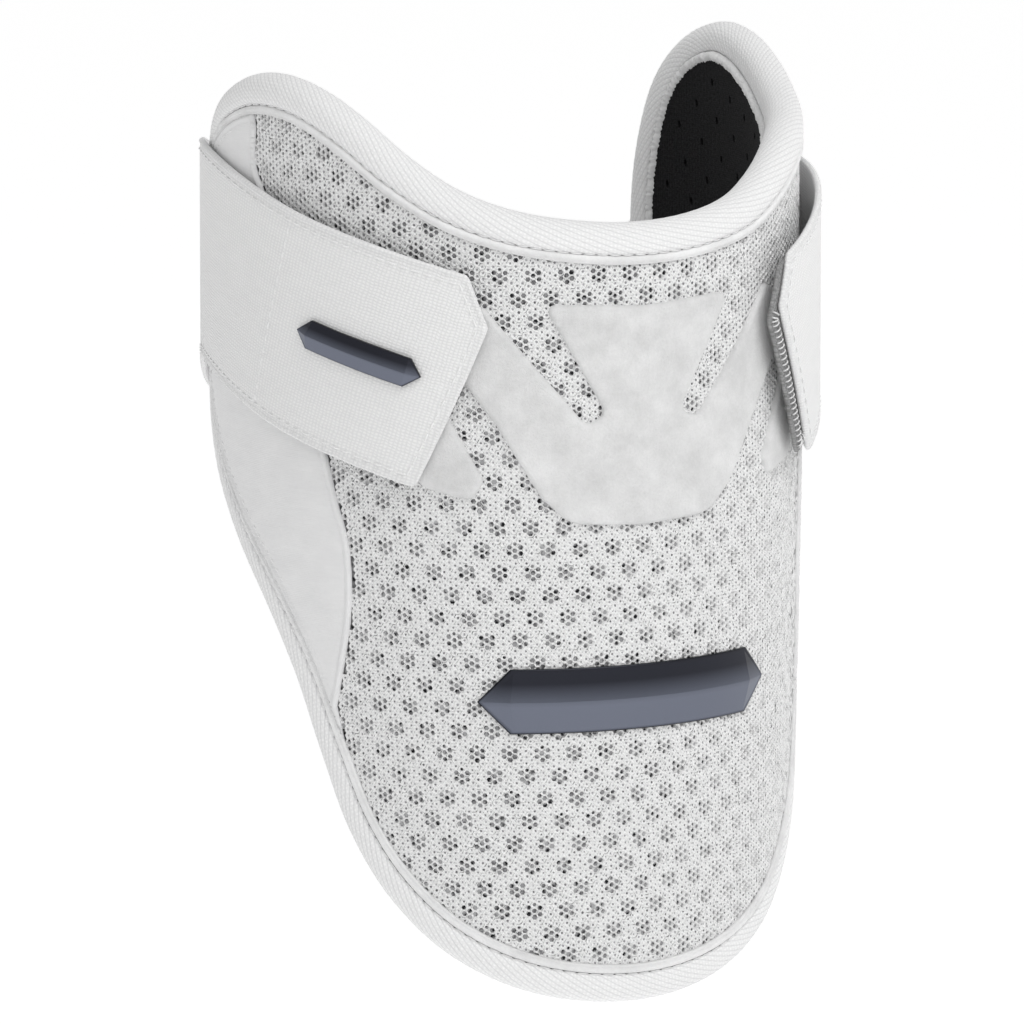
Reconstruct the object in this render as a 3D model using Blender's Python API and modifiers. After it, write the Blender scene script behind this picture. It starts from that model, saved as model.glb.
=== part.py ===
"""Batter's elbow guard: a bent, padded arm shell with a taped edge, an inner
liner and one elastic strap whose two ends hook onto a loop patch on the front.

Metres, +Z up along the arm. The origin is on the arm's axis at mid height and
the front of the guard faces -Y. Most pieces are flat patterns that are bent
round the arm: a turn is an angle about +Z from the front, positive towards +X.
"""
import math

import bmesh
import bpy
import numpy as np
from mathutils import Vector

# Driving dimensions of the padded body
ARM_BORE = 0.0597            # radius inside the liner
LINER_WALL = 0.0012
SHELL_WALL = 0.0064          # foam, stiff plate and mesh cover together
PLY_GAP = 0.0003             # clearance between pieces that lie on each other
HALF_HEIGHT = 0.1025         # to the middle of the rounded edge, up and down
TAPER_START = 0.010          # the body narrows below this height
TAPER = 0.018                # loss of radius for each metre of height below it
COLUMN = math.radians(5.0)   # width of one facet of the bent surface

# Driving dimensions of the edge
TAPE_WALL = 0.0009
TAPE_OUTER_LEG = 0.0026      # tape on the outside, from the edge's middle line
TAPE_INNER_LEG = 0.0022
PIPING_WIDTH = 0.0015
PIPING_RISE = 0.0009
EDGING_WIDTH = 0.0014        # pale strip between the tape and the liner

# Driving dimensions of what lies on the shell
PANEL_WALL = 0.0007
PATCH_HALF_WIDTH = 0.0570
PATCH_HEIGHT = 0.0519
PATCH_WALL = 0.0010
PATCH_DROP = 0.0130          # from the rim's middle line to the patch's top
BADGE_LENGTH = 0.0780
BADGE_WIDTH = 0.0150
BADGE_RISE = 0.0008          # height of its edge
BADGE_RIDGE = 0.0012         # further height of its middle ridge
BADGE_HEIGHT = -0.0350       # where it sits, above the origin

# Driving dimensions of the strap
STRAP_WIDTH = 0.0505
STRAP_WALL = 0.0015
STRAP_CHAMFER = 0.0103       # cut off the upper corner of each end, along
STRAP_CHAMFER_DROP = 0.0105  # and across the strap
STRAP_SLANT = 0.16           # each end leans out by this share of the way up
TAB_WALL = 0.0012
TAB_LENGTH = 0.0240
TAB_MARGIN = 0.0020          # strap that shows round its hook tab
STRAP_BADGE_LENGTH = 0.0325
STRAP_BADGE_WIDTH = 0.0068
STRAP_BADGE_TURN = 55.5      # degrees leftwards from the front

SHELL_INNER = ARM_BORE + LINER_WALL + PLY_GAP
SHELL_OUTER = SHELL_INNER + SHELL_WALL
EDGE_MIDDLE = -SHELL_WALL / 2                                 # offset from the shell's face
EDGE_ROUND = SHELL_WALL / 2 + PLY_GAP                         # inside of the tape's bend
ON_SHELL = PLY_GAP                                            # offset of what lies on it
TAPE_OUTER = ON_SHELL + TAPE_WALL
STRAP_INNER = TAPE_OUTER + PLY_GAP

# The edge's middle line, one half after the other, from the rim's front middle
# over the wing's lobe and down to the lowest point. Turns are in degrees and
# heights are shares of HALF_HEIGHT. The right wing is wrapped further round.
EDGE = [
    # left_turn, left_height, right_turn, right_height
    (0.0, 0.679, 0.0, 0.679),
    (14.0, 0.690, 14.0, 0.688),
    (27.0, 0.716, 27.0, 0.716),
    (39.0, 0.764, 39.0, 0.770),
    (50.0, 0.837, 51.0, 0.828),
    (59.0, 0.907, 63.0, 0.864),
    (68.0, 0.959, 74.0, 0.900),
    (77.0, 0.983, 84.0, 0.950),
    (86.0, 0.979, 92.5, 0.988),
    (95.0, 0.949, 100.5, 0.998),
    (104.0, 0.900, 109.0, 0.960),
    (112.0, 0.824, 115.5, 0.878),
    (117.5, 0.722, 119.3, 0.750),
    (120.0, 0.595, 121.0, 0.600),
    (120.0, 0.439, 120.5, 0.440),
    (115.5, 0.268, 115.5, 0.268),
    (104.5, 0.125, 104.5, 0.125),
    (92.0, -0.015, 92.0, -0.015),
    (80.5, -0.151, 80.5, -0.151),
    (71.5, -0.302, 71.5, -0.302),
    (64.5, -0.478, 64.5, -0.478),
    (58.0, -0.639, 58.0, -0.639),
    (49.0, -0.780, 48.0, -0.780),
    (36.5, -0.897, 35.5, -0.897),
    (20.0, -0.974, 19.0, -0.974),
    (0.0, -1.001, 0.0, -1.001),
]
SIDE_TOP, SIDE_FOOT = 8, 20   # rows of EDGE between which a side panel reaches

# Front border of a side panel, from its top to its foot.
PANEL_BORDER = [
    # turn, height
    (84.5, 0.900),
    (85.0, 0.853),
    (84.3, 0.808),
    (80.5, 0.730),
    (72.0, 0.450),
    (66.0, 0.260),
    (62.0, 0.095),
    (59.6, 0.008),
    (58.8, -0.090),
    (59.3, -0.185),
    (61.0, -0.290),
    (62.6, -0.375),
]

# Right half of the loop patch, clockwise from its top middle: a middle prong,
# an upper slot, an outer finger, a lower slot and the rounded foot.
PATCH_CORNERS = [
    # across, up (shares of the half width and height), corner radius in metres
    (0.000, 0.975, 0.000),
    (0.425, 1.000, 0.0022),
    (0.165, 0.505, 0.0028),
    (0.245, 0.455, 0.0028),
    (0.670, 1.000, 0.0022),
    (0.940, 0.860, 0.0050),
    (1.000, 0.300, 0.0040),
    (0.900, 0.180, 0.0040),
    (0.705, 0.130, 0.0026),
    (0.655, 0.215, 0.0020),
    (0.830, 0.560, 0.0028),
    (0.765, 0.690, 0.0024),
    (0.615, 0.475, 0.0080),
    (0.430, 0.140, 0.0100),
    (0.310, 0.020, 0.0100),
    (0.000, 0.000, 0.000),
]

# The strap's middle line from the left end round the back to the right end.
# Heights are shares of HALF_HEIGHT, reach is a share of the strap's radius.
STRAP_PATH = [
    # turn, height, reach
    (-24.0, 0.340, 1.023),
    (-36.0, 0.371, 1.023),
    (-48.0, 0.411, 1.023),
    (-60.0, 0.451, 1.022),
    (-72.0, 0.490, 1.018),
    (-84.0, 0.530, 1.006),
    (-96.0, 0.564, 1.000),
    (-107.0, 0.582, 1.000),
    (-118.0, 0.580, 1.004),
    (-129.0, 0.525, 1.002),
    (-142.0, 0.430, 0.960),
    (-158.0, 0.335, 0.890),
    (-180.0, 0.270, 0.860),
    (-204.0, 0.258, 0.890),
    (-220.0, 0.262, 0.955),
    (-232.0, 0.278, 1.000),
    (-242.0, 0.325, 1.010),
    (-253.0, 0.415, 1.022),
    (-265.0, 0.490, 1.030),
    (-277.0, 0.510, 1.033),
    (-289.0, 0.488, 1.033),
    (-301.0, 0.452, 1.034),
    (-313.0, 0.412, 1.040),
    (-324.0, 0.372, 1.052),
    (-336.0, 0.335, 1.062),
]
STRAP_END_TURN = 35.4         # where the middle of each end lies
STRAP_STEPS = 64
TAB_STEPS = 5


def clear_scene():
    """Start from an empty file."""
    for item in list(bpy.data.objects):
        bpy.data.objects.remove(item, do_unlink=True)


def smooth_curve(rows, steps, closed):
    """Catmull-Rom curve through rows, with the given steps for each row."""
    rows = np.array(rows, dtype=float)
    count = len(rows)
    spans = count if closed else count - 1
    points = []
    for span in range(spans):
        picks = [span - 1, span, span + 1, span + 2]
        if closed:
            picks = [pick % count for pick in picks]
        else:
            picks = [min(max(pick, 0), count - 1) for pick in picks]
        before, start, end, after = (rows[pick] for pick in picks)
        for step in range(steps):
            share = step / steps
            points.append(0.5 * (2 * start + (end - before) * share
                                 + (2 * before - 5 * start + 4 * end - after) * share ** 2
                                 + (3 * start - before - 3 * end + after) * share ** 3))
    if not closed:
        points.append(rows[-1])
    return np.array(points)


def wrap(turn, height, offset):
    """Point on the bent surface, offset outwards from the shell's outer face."""
    column = math.floor(turn / COLUMN)
    share = turn / COLUMN - column
    first = column * COLUMN
    second = first + COLUMN
    radius = SHELL_OUTER + offset - TAPER * max(0.0, TAPER_START - height)
    side = (1 - share) * math.sin(first) + share * math.sin(second)
    front = (1 - share) * math.cos(first) + share * math.cos(second)
    return Vector((radius * side, -radius * front, height))


def edge_line():
    """The edge's middle line as flat points (arc, height), anticlockwise
    seen from the front: up the right side, over the rim and down the left."""
    right = [(math.radians(row[2]) * SHELL_OUTER, row[3] * HALF_HEIGHT) for row in EDGE]
    left = [(-math.radians(row[0]) * SHELL_OUTER, row[1] * HALF_HEIGHT) for row in EDGE]
    loop = right[::-1] + left[1:-1]
    return smooth_curve(loop, 2, closed=True)


def inset(line, distance):
    """The closed flat line moved inwards by a distance along the surface."""
    ahead = np.roll(line, -1, axis=0) - np.roll(line, 1, axis=0)
    ahead /= np.linalg.norm(ahead, axis=1)[:, None]
    inward = np.stack([-ahead[:, 1], ahead[:, 0]], axis=1)
    return line + inward * distance


def make_material(name, colour, roughness, metallic=0.0):
    """Principled material with a plain colour."""
    material = bpy.data.materials.new(name)
    material.use_nodes = True
    shader = material.node_tree.nodes["Principled BSDF"]
    shader.inputs["Base Color"].default_value = (*colour, 1.0)
    shader.inputs["Roughness"].default_value = roughness
    shader.inputs["Metallic"].default_value = metallic
    material.diffuse_color = (*colour, 1.0)
    return material


def add_object(name, shape, material):
    """Turn a bmesh into a named object in the guard's collection."""
    mesh = bpy.data.meshes.new(name)
    shape.to_mesh(mesh)
    shape.free()
    mesh.materials.append(material)
    mesh.shade_smooth()
    mesh.set_sharp_from_angle(angle=math.radians(30))
    item = bpy.data.objects.new(name, mesh)
    GUARD.objects.link(item)
    return item


def flat_plate(name, loops, wall):
    """Closed flat plate with the outline loops[0] and holes after it."""
    curve = bpy.data.curves.new(name, "CURVE")
    curve.dimensions = "2D"
    curve.fill_mode = "BOTH"
    curve.extrude = wall / 2
    for loop in loops:
        spline = curve.splines.new("POLY")
        spline.points.add(len(loop) - 1)
        for point, (across, up) in zip(spline.points, loop):
            point.co = (across, up, 0.0, 1.0)
        spline.use_cyclic_u = True
    guide = bpy.data.objects.new(name, curve)
    bpy.context.scene.collection.objects.link(guide)
    depsgraph = bpy.context.evaluated_depsgraph_get()
    mesh = bpy.data.meshes.new_from_object(guide.evaluated_get(depsgraph))
    shape = bmesh.new()
    shape.from_mesh(mesh)
    bpy.data.objects.remove(guide)
    bpy.data.curves.remove(curve)
    bpy.data.meshes.remove(mesh)
    bmesh.ops.remove_doubles(shape, verts=shape.verts, dist=0.00001)
    bmesh.ops.dissolve_limit(shape, angle_limit=math.radians(0.2),
                             verts=shape.verts, edges=shape.edges)
    bmesh.ops.recalc_face_normals(shape, faces=shape.faces)
    return shape


def cut_across(shape, place, along):
    """Add an edge loop where a plane crosses the shape."""
    geometry = shape.verts[:] + shape.edges[:] + shape.faces[:]
    bmesh.ops.bisect_plane(shape, geom=geometry, dist=0.000001,
                           plane_co=place, plane_no=along)


def bend(shape, inner_offset, wall):
    """Bend a flat plate round the arm, its inner face at inner_offset."""
    arc = COLUMN * SHELL_OUTER
    reach = max(abs(vert.co.x) for vert in shape.verts)
    columns = int(reach / arc)
    for column in range(-columns, columns + 1):
        cut_across(shape, (column * arc, 0, 0), (1, 0, 0))
    cut_across(shape, (0, TAPER_START, 0), (0, 1, 0))
    for vert in shape.verts:
        offset = inner_offset + wall / 2 + vert.co.z
        vert.co = wrap(vert.co.x / SHELL_OUTER, vert.co.y, offset)


def bent_plate(name, loops, inner_offset, wall, material):
    """A flat pattern of even thickness, bent round the arm."""
    shape = flat_plate(name, loops, wall)
    bend(shape, inner_offset, wall)
    return add_object(name, shape, material)


def swept_edge(name, line, section, material):
    """Closed band along the edge. A section point is (outward, offset)."""
    shape = bmesh.new()
    rings = []
    for outward, offset in section:
        track = inset(line, -outward)
        rings.append([shape.verts.new(wrap(arc / SHELL_OUTER, height, offset))
                      for arc, height in track])
    stations = len(line)
    for index, ring in enumerate(rings):
        following = rings[(index + 1) % len(rings)]
        for station in range(stations):
            after = (station + 1) % stations
            shape.faces.new((ring[station], ring[after], following[after], following[station]))
    bmesh.ops.recalc_face_normals(shape, faces=shape.faces)
    return add_object(name, shape, material)


def tape_section():
    """U-shaped section of the edge tape: outer leg, bend and inner leg."""
    def path(radius):
        points = [(-TAPE_OUTER_LEG, EDGE_MIDDLE + radius)]
        for degrees in (90, 45, 0, -45, -90):
            angle = math.radians(degrees)
            points.append((radius * math.cos(angle), EDGE_MIDDLE + radius * math.sin(angle)))
        points.append((-TAPE_INNER_LEG, EDGE_MIDDLE - radius))
        return points
    outside = path(EDGE_ROUND + TAPE_WALL)
    inside = path(EDGE_ROUND)
    return outside + inside[::-1]


def piping_section():
    """Low rounded bead beside the tape's outer leg."""
    start = -TAPE_OUTER_LEG - PLY_GAP
    middle = start - PIPING_WIDTH / 2
    end = start - PIPING_WIDTH
    shoulder = ON_SHELL + PIPING_RISE / 2
    return [(start, ON_SHELL), (start, shoulder), (middle, ON_SHELL + PIPING_RISE),
            (end, shoulder), (end, ON_SHELL)]


def edging_section():
    """Flat strip inside the guard, beside the tape's inner leg."""
    top = -SHELL_WALL - PLY_GAP
    start = -TAPE_INNER_LEG - PLY_GAP
    end = start - EDGING_WIDTH
    return [(start, top), (start, top - LINER_WALL), (end, top - LINER_WALL), (end, top)]


def make_shell(line):
    """Padded body under the mesh cover. Its edge fits inside the tape."""
    bent_plate("shell", [line], -SHELL_WALL, SHELL_WALL, MESH_WHITE)


def make_edge(line):
    """Tape round the whole edge, with a bead beside it and a strip within."""
    swept_edge("binding", line, tape_section(), TAPE_WHITE)
    swept_edge("piping", line, piping_section(), TAPE_WHITE)
    swept_edge("liner_edging", line, edging_section(), FLEECE_WHITE)


def make_liner(line):
    """Black sheet that lines the hollow, within the pale strip."""
    border = inset(line, TAPE_INNER_LEG + EDGING_WIDTH + 2 * PLY_GAP)
    bent_plate("liner", [border], -SHELL_WALL - PLY_GAP - LINER_WALL, LINER_WALL, LINER_BLACK)


def side_panel(line, side):
    """Smooth panel on a wing, between its front border and the piping."""
    edge = inset(line, TAPE_OUTER_LEG + PIPING_WIDTH + 2 * PLY_GAP)
    count = len(line)
    last = len(EDGE) - 1
    if side > 0:
        wing = edge[2 * (last - SIDE_FOOT):2 * (last - SIDE_TOP) + 1]
    else:
        wing = edge[count - 2 * (last - SIDE_FOOT):count - 2 * (last - SIDE_TOP) - 1:-1]
    border = smooth_curve(PANEL_BORDER, 2, closed=False)
    border = [(side * math.radians(turn) * SHELL_OUTER, height * HALF_HEIGHT)
              for turn, height in border]
    name = "side_panel_right" if side > 0 else "side_panel_left"
    bent_plate(name, [list(wing) + border], ON_SHELL, PANEL_WALL, PANEL_WHITE)


def rounded(corners, steps=3):
    """Closed outline through corners (across, up, radius), each one rounded."""
    points = []
    count = len(corners)
    for index, (across, up, radius) in enumerate(corners):
        here = np.array((across, up))
        if radius == 0:
            points.append(here)
            continue
        back = np.array(corners[index - 1][:2]) - here
        ahead = np.array(corners[(index + 1) % count][:2]) - here
        back_run, ahead_run = np.linalg.norm(back), np.linalg.norm(ahead)
        opening = math.acos(np.dot(back, ahead) / (back_run * ahead_run))
        trim = min(radius / math.tan(opening / 2), 0.48 * back_run, 0.48 * ahead_run)
        start = here + back / back_run * trim
        end = here + ahead / ahead_run * trim
        for step in range(steps + 1):
            share = step / steps
            points.append((1 - share) ** 2 * start + 2 * share * (1 - share) * here
                          + share ** 2 * end)
    return points


def make_patch():
    """Loop patch on the front, with a slot each side of its middle prong."""
    top = EDGE[0][1] * HALF_HEIGHT - PATCH_DROP
    half = [(across * PATCH_HALF_WIDTH, top + (up - 1) * PATCH_HEIGHT, radius)
            for across, up, radius in PATCH_CORNERS]
    mirrored = [(-across, up, radius) for across, up, radius in half[1:-1][::-1]]
    outline = rounded(half + mirrored)
    bent_plate("loop_patch", [outline], ON_SHELL, PATCH_WALL, FLEECE_WHITE)


def badge_shape(name, length, width):
    """Long six-sided plate with a ridge along its middle, still flat."""
    point = width / 2
    outline = [(-length / 2, 0), (-length / 2 + point, -width / 2),
               (length / 2 - point, -width / 2), (length / 2, 0),
               (length / 2 - point, width / 2), (-length / 2 + point, width / 2)]
    shape = flat_plate(name, [outline], BADGE_RISE)
    cut_across(shape, (0, 0, 0), (0, 1, 0))
    for side in (-1, 1):
        cut_across(shape, (side * (length / 2 - point), 0, 0), (1, 0, 0))
    arc = COLUMN * SHELL_OUTER
    columns = int(length / 2 / arc)
    for column in range(-columns, columns + 1):
        cut_across(shape, (column * arc, 0, 0), (1, 0, 0))
    for vert in shape.verts:
        on_line = abs(vert.co.y) < width * 0.01
        short_of_tip = abs(vert.co.x) < length / 2 - width * 0.4
        if vert.co.z > 0 and on_line and short_of_tip:
            vert.co.z += BADGE_RIDGE
    return shape


def make_front_badge():
    """Raised badge low on the front, bent with the shell."""
    shape = badge_shape("front_badge", BADGE_LENGTH, BADGE_WIDTH)
    for vert in shape.verts:
        offset = ON_SHELL + BADGE_RISE / 2 + vert.co.z
        vert.co = wrap(vert.co.x / SHELL_OUTER, vert.co.y + BADGE_HEIGHT, offset)
    add_object("front_badge", shape, BADGE_SLATE)


class StrapRoute:
    """Middle line of the strap, read at any turn from its table."""

    def __init__(self):
        rows = np.array(STRAP_PATH)
        fine = smooth_curve(rows, 8, closed=False)
        self.turns = np.radians(-fine[:, 0])
        self.heights = fine[:, 1] * HALF_HEIGHT
        self.reaches = fine[:, 2]
        end = math.radians(STRAP_END_TURN)
        self.start, self.end = end, 2 * math.pi - end

    def height(self, turn):
        return float(np.interp(turn, self.turns, self.heights))

    def radius(self, turn):
        reach = float(np.interp(turn, self.turns, self.reaches))
        return (SHELL_OUTER + STRAP_INNER) * reach

    def point(self, turn, across, drop):
        """Point of the strap's inner face, moved across it, and towards the
        arm by drop. Turns run leftwards from the front here."""
        step = math.radians(2.0)
        rise = self.height(turn + step) - self.height(turn - step)
        slope = math.atan2(rise, 2 * step * SHELL_OUTER)
        turn_here = turn - across * math.sin(slope) / SHELL_OUTER
        height = self.height(turn) + across * math.cos(slope)
        radius = self.radius(turn_here) - drop
        return Vector((-radius * math.sin(turn_here), -radius * math.cos(turn_here), height))


def strap_sheet(name, route, ends, clips, rows, steps, drop, wall, material):
    """Open grid along the route between two turns, thickened outwards. Clips
    are how far the upper corner of each end is cut back along the strap."""
    shape = bmesh.new()
    bmesh.ops.create_grid(shape, x_segments=steps, y_segments=len(rows) - 1, size=1.0)
    for vert in shape.verts:
        along = (vert.co.x + 1) / 2
        row = round((vert.co.y + 1) / 2 * (len(rows) - 1))
        across = rows[row]
        turn = ends[0] + (ends[1] - ends[0]) * along
        for clip, nearness, way in ((clips[0], 1 - along, 1), (clips[1], along, -1)):
            cut = clip if row == len(rows) - 1 else 0.0
            lean = across * STRAP_SLANT if clip else 0.0
            turn += way * nearness * (cut - lean) / SHELL_OUTER
        vert.co = route.point(turn, across, drop)
    item = add_object(name, shape, material)
    item.data.flip_normals()
    thick = item.modifiers.new("Solidify", "SOLIDIFY")
    thick.thickness = wall
    thick.offset = 1.0
    thick.use_even_offset = True
    return item


def make_strap(route):
    """Elastic strap round the arm, open at the front, with clipped ends."""
    drop_row = 0.5 - STRAP_CHAMFER_DROP / STRAP_WIDTH
    rows = [share * STRAP_WIDTH for share in (-0.5, -0.17, 0.14, drop_row, 0.5)]
    strap_sheet("strap", route, (route.start, route.end), (STRAP_CHAMFER, STRAP_CHAMFER),
                rows, STRAP_STEPS, 0.0, STRAP_WALL, STRAP_WHITE)


def make_hook_tabs(route):
    """Hook tab under each end of the strap, facing the loop patch."""
    half = STRAP_WIDTH / 2 - TAB_MARGIN
    corner_row = half - STRAP_CHAMFER_DROP
    rows = [-half, -half / 3, half / 5, corner_row, half]
    margin = TAB_MARGIN / SHELL_OUTER
    run = TAB_LENGTH / SHELL_OUTER
    drop = TAB_WALL + PLY_GAP
    left = route.start + margin
    strap_sheet("hook_tab_left", route, (left, left + run), (STRAP_CHAMFER, 0.0),
                rows, TAB_STEPS, drop, TAB_WALL, HOOK_GREY)
    right = route.end - margin
    strap_sheet("hook_tab_right", route, (right - run, right), (0.0, STRAP_CHAMFER),
                rows, TAB_STEPS, drop, TAB_WALL, HOOK_GREY)


def make_strap_badge(route):
    """Smaller badge near the strap's left end, bent with the strap."""
    shape = badge_shape("strap_badge", STRAP_BADGE_LENGTH, STRAP_BADGE_WIDTH)
    middle = math.radians(STRAP_BADGE_TURN)
    for vert in shape.verts:
        rise = STRAP_WALL + PLY_GAP + BADGE_RISE / 2 + vert.co.z
        turn = middle - vert.co.x / SHELL_OUTER
        vert.co = route.point(turn, vert.co.y, -rise)
    add_object("strap_badge", shape, BADGE_SLATE)


def main():
    line = edge_line()
    make_shell(line)
    make_edge(line)
    make_liner(line)
    side_panel(line, 1)
    side_panel(line, -1)
    make_patch()
    make_front_badge()
    route = StrapRoute()
    make_strap(route)
    make_hook_tabs(route)
    make_strap_badge(route)


clear_scene()
GUARD = bpy.data.collections.new("elbow_guard")
bpy.context.scene.collection.children.link(GUARD)
MESH_WHITE = make_material("mesh_white", (0.78, 0.78, 0.77), 0.85)
TAPE_WHITE = make_material("tape_white", (0.86, 0.86, 0.86), 0.75)
FLEECE_WHITE = make_material("fleece_white", (0.80, 0.80, 0.80), 0.95)
PANEL_WHITE = make_material("panel_white", (0.80, 0.80, 0.81), 0.70)
STRAP_WHITE = make_material("strap_white", (0.84, 0.84, 0.84), 0.80)
LINER_BLACK = make_material("liner_black", (0.012, 0.012, 0.013), 0.85)
HOOK_GREY = make_material("hook_grey", (0.55, 0.55, 0.55), 0.80)
BADGE_SLATE = make_material("badge_slate", (0.10, 0.11, 0.14), 0.35, 0.6)
main()
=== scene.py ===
"""Looks of the batter's elbow guard: knitted mesh, ribbed edge tape, fleece
patch, woven strap and faceted badges, in the frame's own place and size.

Metres, +Z up along the arm, front towards -Y. Flat patterns are laid out as
(arc, height) on the unrolled guard, then bent round the arm.
"""
import math

import bmesh
import bpy
import numpy as np
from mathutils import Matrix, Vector
from mathutils.geometry import delaunay_2d_cdt


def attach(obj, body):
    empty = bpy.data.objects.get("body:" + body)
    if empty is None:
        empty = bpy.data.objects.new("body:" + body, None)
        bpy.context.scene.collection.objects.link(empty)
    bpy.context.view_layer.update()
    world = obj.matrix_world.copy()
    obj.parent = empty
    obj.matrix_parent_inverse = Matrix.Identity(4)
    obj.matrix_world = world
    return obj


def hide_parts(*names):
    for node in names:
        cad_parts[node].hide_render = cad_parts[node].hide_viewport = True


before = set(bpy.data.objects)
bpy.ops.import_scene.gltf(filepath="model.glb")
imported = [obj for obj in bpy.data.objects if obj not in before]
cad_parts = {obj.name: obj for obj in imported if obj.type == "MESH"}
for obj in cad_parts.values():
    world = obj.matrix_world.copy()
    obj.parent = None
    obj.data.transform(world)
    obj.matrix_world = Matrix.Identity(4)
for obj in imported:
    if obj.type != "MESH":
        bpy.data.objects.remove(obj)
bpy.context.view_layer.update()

MM = 0.001

# Sizes shared with the frame
SHELL_OUTER = 67.6 * MM       # radius of the padded body's outer face
SHELL_WALL = 6.4 * MM
LINER_WALL = 1.2 * MM
PLY_GAP = 0.3 * MM
HALF_HEIGHT = 102.5 * MM
TAPER_START = 10 * MM
TAPER = 0.018
TAPER_BLEND = 6 * MM
TAPE_WALL = 0.9 * MM
TAPE_OUTER_LEG = 2.6 * MM
TAPE_INNER_LEG = 2.2 * MM
PIPING_WIDTH = 1.5 * MM
PIPING_RISE = 0.9 * MM
EDGING_WIDTH = 1.4 * MM
PANEL_WALL = 0.7 * MM
PATCH_HALF_WIDTH = 57.0 * MM
PATCH_HEIGHT = 51.9 * MM
PATCH_WALL = 1.0 * MM
PATCH_DROP = 13.0 * MM
BADGE_LENGTH = 78.0 * MM
BADGE_WIDTH = 15.0 * MM
BADGE_RISE = 0.8 * MM
BADGE_RIDGE = 1.2 * MM
BADGE_HEIGHT = -35.0 * MM
STRAP_WIDTH = 50.5 * MM
STRAP_WALL = 1.5 * MM
STRAP_CHAMFER = 10.3 * MM
STRAP_CHAMFER_DROP = 10.5 * MM
STRAP_SLANT = 0.16
STRAP_INNER = 1.5 * MM
STRAP_END_TURN = 35.4
TAB_LENGTH = 24.0 * MM
TAB_MARGIN = 2.0 * MM
TAB_SHOWING = 4.2 * MM        # of the right tab, past the strap's end
STRAP_BADGE_LENGTH = 32.5 * MM
STRAP_BADGE_WIDTH = 6.8 * MM
STRAP_BADGE_TURN = 55.5
EDGE_MIDDLE = -SHELL_WALL / 2
EDGE_ROUND = SHELL_WALL / 2 + PLY_GAP
PANEL_START = TAPE_OUTER_LEG + PIPING_WIDTH + 2 * PLY_GAP
LINER_START = TAPE_INNER_LEG + EDGING_WIDTH + 2 * PLY_GAP

# Sizes of the cloth itself
KNIT_COLUMN = 7.6 * MM / 6    # holes stand in columns, six to a cluster's width
KNIT_ROW = 10.5 * MM / 7      # and seven to the height of two clusters
KNIT_TOP = 0.28 * MM          # above the shell's face
KNIT_DEPTH = 0.75 * MM
KNIT_LEAN = -0.055            # the columns lean a little
DIMPLE = 0.34 * MM            # depth of the small cells
KNIT_JITTER = 0.05 * MM       # of each cell and corner, sideways
HOLE_RADIUS = 0.66 * MM
PAD_DROP = 0.42 * MM          # the padding lies this far below the shell's face
RIB_PITCH = 1.28 * MM         # across the tape
RIB_RELIEF = 0.085 * MM
STITCH_LENGTH = 2.1 * MM
STITCH_GAP = 0.8 * MM
THREAD = 0.17 * MM            # radius
SMALL_HOOK = (0.45 * MM, 0.75 * MM, 0.09 * MM)    # half span, rise, radius
BROAD_LOOP = (1.15 * MM, 0.70 * MM, 0.20 * MM)

EDGE = [
    # left_turn, left_height, right_turn, right_height
    (0.0, 0.679, 0.0, 0.679),
    (14.0, 0.690, 14.0, 0.688),
    (27.0, 0.716, 27.0, 0.716),
    (39.0, 0.764, 39.0, 0.770),
    (50.0, 0.837, 51.0, 0.828),
    (59.0, 0.907, 63.0, 0.864),
    (68.0, 0.959, 74.0, 0.900),
    (77.0, 0.983, 84.0, 0.950),
    (86.0, 0.979, 92.5, 0.988),
    (95.0, 0.949, 100.5, 0.998),
    (104.0, 0.900, 109.0, 0.960),
    (112.0, 0.824, 115.5, 0.878),
    (117.5, 0.722, 119.3, 0.750),
    (120.0, 0.595, 121.0, 0.600),
    (120.0, 0.439, 120.5, 0.440),
    (115.5, 0.268, 115.5, 0.268),
    (104.5, 0.125, 104.5, 0.125),
    (92.0, -0.015, 92.0, -0.015),
    (80.5, -0.151, 80.5, -0.151),
    (71.5, -0.302, 71.5, -0.302),
    (64.5, -0.478, 64.5, -0.478),
    (58.0, -0.639, 58.0, -0.639),
    (49.0, -0.780, 48.0, -0.780),
    (36.5, -0.897, 35.5, -0.897),
    (20.0, -0.974, 19.0, -0.974),
    (0.0, -1.001, 0.0, -1.001),
]
SIDE_TOP, SIDE_FOOT = 8, 20   # rows of the edge between which a side panel follows it
EDGE_STEPS = 8                # points of the edge's line to a row
TAPE_JOIN = 39                # rows of the edge before the tape's ends meet, under the strap

PANEL_BORDER = [
    # turn, height
    (84.5, 0.900),
    (85.0, 0.853),
    (84.3, 0.808),
    (80.5, 0.730),
    (72.0, 0.450),
    (66.0, 0.260),
    (62.0, 0.095),
    (59.6, 0.008),
    (58.8, -0.090),
    (59.3, -0.185),
    (61.0, -0.290),
    (62.6, -0.375),
]

PATCH_CORNERS = [
    # across, up (shares of the half width and height), corner radius in metres
    (0.000, 0.975, 0.000),
    (0.425, 1.000, 0.0022),
    (0.165, 0.505, 0.0028),
    (0.245, 0.455, 0.0028),
    (0.670, 1.000, 0.0022),
    (0.940, 0.860, 0.0050),
    (1.000, 0.300, 0.0040),
    (0.900, 0.180, 0.0040),
    (0.705, 0.130, 0.0026),
    (0.655, 0.215, 0.0020),
    (0.830, 0.560, 0.0028),
    (0.765, 0.690, 0.0024),
    (0.615, 0.475, 0.0080),
    (0.430, 0.140, 0.0100),
    (0.310, 0.020, 0.0100),
    (0.000, 0.000, 0.000),
]

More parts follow.
